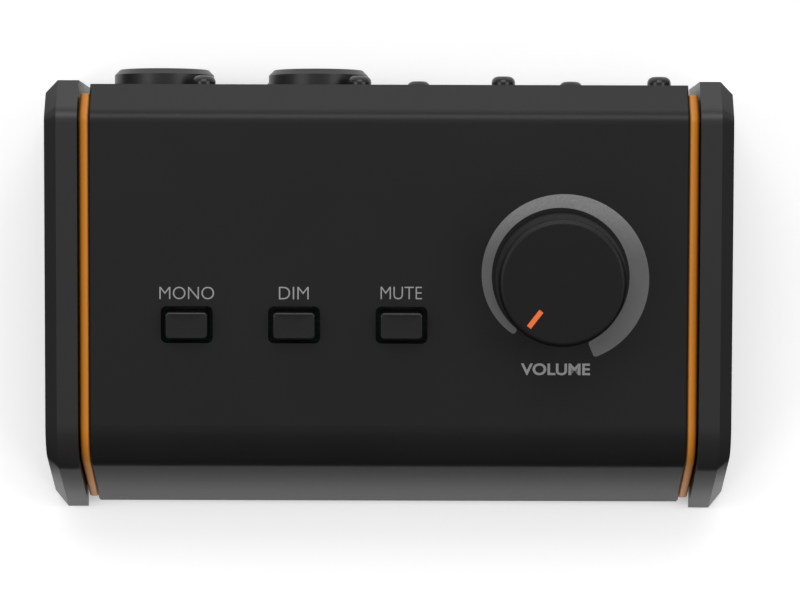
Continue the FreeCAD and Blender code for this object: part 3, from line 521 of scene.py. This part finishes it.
def key_cap(name, centre_x, centre_u):
    """A key: a rounded rectangle carried up its sides, over a quarter-circle edge and inward across a shallow
    dish, whose height over its middle grows with the square of the way out to the edge."""
    turn = np.linspace(0, math.pi / 2, KEY_EDGE_STEPS)
    rings = [(0.0, 1.0, KEY_LOW), (0.0, 1.0, 0.0)]
    rings += [(KEY_EDGE * (1 - math.cos(t)), 1.0, KEY_HIGH - KEY_EDGE + KEY_EDGE * math.sin(t)) for t in turn]
    rings += [(KEY_EDGE, share, KEY_HIGH - KEY_DISH * (1 - share**2)) for share in DISH_SHARES]
    x, u, v = [], [], []
    for inset, share, height in rings:
        across, along = rounded_rectangle(
            KEY_HALF_LENGTH - inset, KEY_HALF_WIDTH - inset, KEY_CORNER - inset, KEY_CORNER_STEPS)
        x.append(centre_x + across * share)
        u.append(centre_u + along * share)
        v.append(np.full(len(across), height))
    points = panel_points(x, u, v)
    columns = len(x[0])
    faces = grid_faces(len(rings), columns) + end_caps(len(rings), columns)
    piece = make_piece(name + "_cap", points, faces, "button_black", name + "_key")
    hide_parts(name + "_button")


def keys():
    """A cap over the middle of each construction key."""
    for name in KEYS:
        node = frame["nodes"][name + "_button"]
        corners = np.array([node.matrix_world @ Vector(corner) for corner in node.bound_box])
        local = TO_PANEL.inverted() @ Vector((corners.min(0) + corners.max(0)) / 2)
        key_cap(name, local.x / MM, local.y / MM)


def side_outline(inset, rear_gap, front_gap):
    """Points and inward normals along the case's side outline moved inward by an inset: straight runs joined
    by arcs about the kink and the front corner, from a gap before the rear face to a gap above the foot. An
    arc's normals turn evenly from one run's to the next's, and its points lie on them, all as far from its
    centre."""
    kink = np.array([REAR_Y - BEVEL_RUN, FLOOR_Z + CASE_HEIGHT])
    rear = np.array([REAR_Y, FLOOR_Z + REAR_HEIGHT])
    foot = np.array([FOOT_Y, FLOOR_Z])
    up_bevel = (kink - rear) / np.linalg.norm(kink - rear)
    down_panel = -np.array([math.cos(SLOPE), math.sin(SLOPE)])
    down_front = -np.array([math.sin(LEAN), math.cos(LEAN)])
    reach = np.linalg.solve(np.transpose([down_panel, -down_front]), foot - kink)[0]
    corner = kink + reach * down_panel
    rear = rear - up_bevel * rear_gap / up_bevel[0]
    foot = foot + down_front * front_gap / down_front[1]
    inward = [np.array([-way[1], way[0]]) for way in (up_bevel, down_panel, down_front)]
    points, normals = [[rear + inset * inward[0]]], [[inward[0]]]
    share = np.linspace(0, 1, ARC_STEPS)[:, None]
    for vertex, radius, first, second in (
        (kink, KINK_RADIUS, *inward[:2]),
        (corner, FRONT_RADIUS, *inward[1:]),
    ):
        turn = math.acos(first @ second)
        centre = vertex + radius * (first + second) / (1 + first @ second)
        fan = (np.sin((1 - share) * turn) * first + np.sin(share * turn) * second) / math.sin(turn)
        points.append(centre - (radius - inset) * fan)
        normals.append(fan)
    points.append([foot + inset * inward[2]])
    normals.append([inward[2]])
    return np.concatenate(points), np.concatenate(normals)


def trim_strip(name, sign):
    """A strip: a rounded rectangle, its width across x and its depth into the groove, with an outer side that
    falls from the middle to both edges by a cosine, is carried along the side outline."""
    across, outward = rounded_rectangle(STRIP_WIDTH / 2, STRIP_DEPTH / 2, STRIP_EDGE, STRIP_CORNER_STEPS)
    fall = np.where(outward > 0, STRIP_CROWN * (1 - np.cos(math.pi * across / STRIP_WIDTH)), 0)
    depth = STRIP_DEPTH / 2 - outward + fall
    path, inward = side_outline(STRIP_RECESS, STRIP_REAR_GAP, STRIP_FRONT_GAP)
    rows, columns = len(path), len(across)
    x = np.broadcast_to((GROOVE_X + STRIP_WIDTH / 2 + across) * sign, (rows, columns))
    y = path[:, :1] + inward[:, :1] * depth
    z = path[:, 1:] + inward[:, 1:] * depth
    points = np.stack([x, y, z], axis=-1).reshape(-1, 3) * MM
    faces = grid_faces(rows, columns) + end_caps(rows, columns)
    piece = make_piece(name + "_strip", points, faces, "trim_orange", "case")
    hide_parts(name + "_trim_strip")


def stage_sheet(name, points, faces, finish):
    """A sheet of the surroundings, kept out of the object."""
    mesh = bpy.data.meshes.new(name)
    mesh.from_pydata(points, [], faces)
    mesh.materials.append(finish.material)
    sheet = bpy.data.objects.new(name, mesh)
    bpy.context.scene.collection.objects.link(sheet)
    return sheet


def white_paper():
    """Matt white paper that shows the camera, mirrors and glass some light of its own over its shadows."""
    paper = Finish("white_paper", Specular_IOR_Level=0.0, Roughness=0.9)
    paper.set("Base Color", paper.mix(paper.noise(0.4, detail=4.0), grey(0.93), grey(0.95)))
    path = paper.node("ShaderNodeLightPath")
    seen = (path["Is Camera Ray"] + path["Is Glossy Ray"] + path["Is Transmission Ray"]).clamped()
    paper.set("Emission Color", paper.mix(seen, grey(0), grey(1)))
    paper.set("Emission Strength", PAPER_GLOW)
    return paper


def floor():
    """White paper under the object and all round it."""
    corners = [(-FLOOR_HALF, -FLOOR_HALF, 0), (FLOOR_HALF, -FLOOR_HALF, 0),
               (FLOOR_HALF, FLOOR_HALF, 0), (-FLOOR_HALF, FLOOR_HALF, 0)]
    stage_sheet("floor", corners, [(0, 1, 2, 3)], white_paper())


def reflection_card():
    """Dark card round the front and the sides that only reflections see: a sheet just over the floor with an
    opening for the object, and a wall round it that is higher at the front."""
    card = Finish("dark_card", Specular_IOR_Level=0.0, Roughness=0.9)
    card.set("Base Color", card.mix(card.noise(0.3), grey(0.008), grey(0.012)))
    opening, edge = ([(-x, y) for x, y in half] + half[::-1] for half in (CARD_OPENING, CARD_EDGE))
    points = [(x, y, CARD_LEVEL) for x, y in opening + edge]
    points += [(x, y, WALL_HEIGHT - y * WALL_RISE) for x, y in edge]
    sheet = stage_sheet("reflection_card", points, grid_faces(3, len(edge), closed=False), card)
    sheet.visible_camera = False
    sheet.visible_diffuse = False
    sheet.visible_shadow = False


def area_lamp(name, place, size, power):
    """A soft lamp aimed at the object, unseen by the camera."""
    data = bpy.data.lights.new(name, "AREA")
    data.shape = "RECTANGLE"
    data.size, data.size_y = size
    data.energy = power
    lamp = bpy.data.objects.new(name, data)
    bpy.context.scene.collection.objects.link(lamp)
    lamp.location = place
    lamp.rotation_euler = (-Vector(place)).to_track_quat("-Z", "Y").to_euler()
    lamp.visible_camera = False


def white_sky():
    """An even white world."""
    sky = bpy.data.worlds.new("sky")
    sky.use_nodes = True
    light = sky.node_tree.nodes["Background"].inputs
    light["Color"].default_value = (1, 1, 1, 1)
    light["Strength"].default_value = SKY_STRENGTH
    bpy.context.scene.world = sky


def camera_above():
    """A camera looking straight down, so far away that the panel has PIXEL millimetres to a pixel."""
    data = bpy.data.cameras.new("camera")
    data.sensor_width = SENSOR_WIDTH
    data.lens = SENSOR_WIDTH * CAMERA_HEIGHT / (PICTURE_WIDTH * PIXEL)
    data.clip_start = CLIP_START
    camera = bpy.data.objects.new("camera", data)
    bpy.context.scene.collection.objects.link(camera)
    centre_x = (PICTURE_WIDTH / 2 - ZERO_COLUMN) * PIXEL * MM
    centre_u = (KNOB_ROW - PICTURE_HEIGHT / 2) * PIXEL * MM
    aim = TO_PANEL @ Vector((centre_x - KNOB_FOOT.x, centre_u, 0))
    camera.location = (aim.x, aim.y, aim.z + CAMERA_HEIGHT * MM)
    camera.rotation_euler = (0, 0, CAMERA_ROLL)
    bpy.context.scene.camera = camera


def studio():
    """White floor, dark card that only reflections see, white sky, soft lamps and the camera above."""
    bpy.context.scene.view_settings.view_transform = "Standard"
    floor()
    reflection_card()
    white_sky()
    for name, (place, size, power) in LAMPS.items():
        area_lamp(name, place, size, power)
    camera_above()


dress_nodes()
printed_crescent()
legends()
keys()
trim_strip("left", -1)
trim_strip("right", 1)
studio()
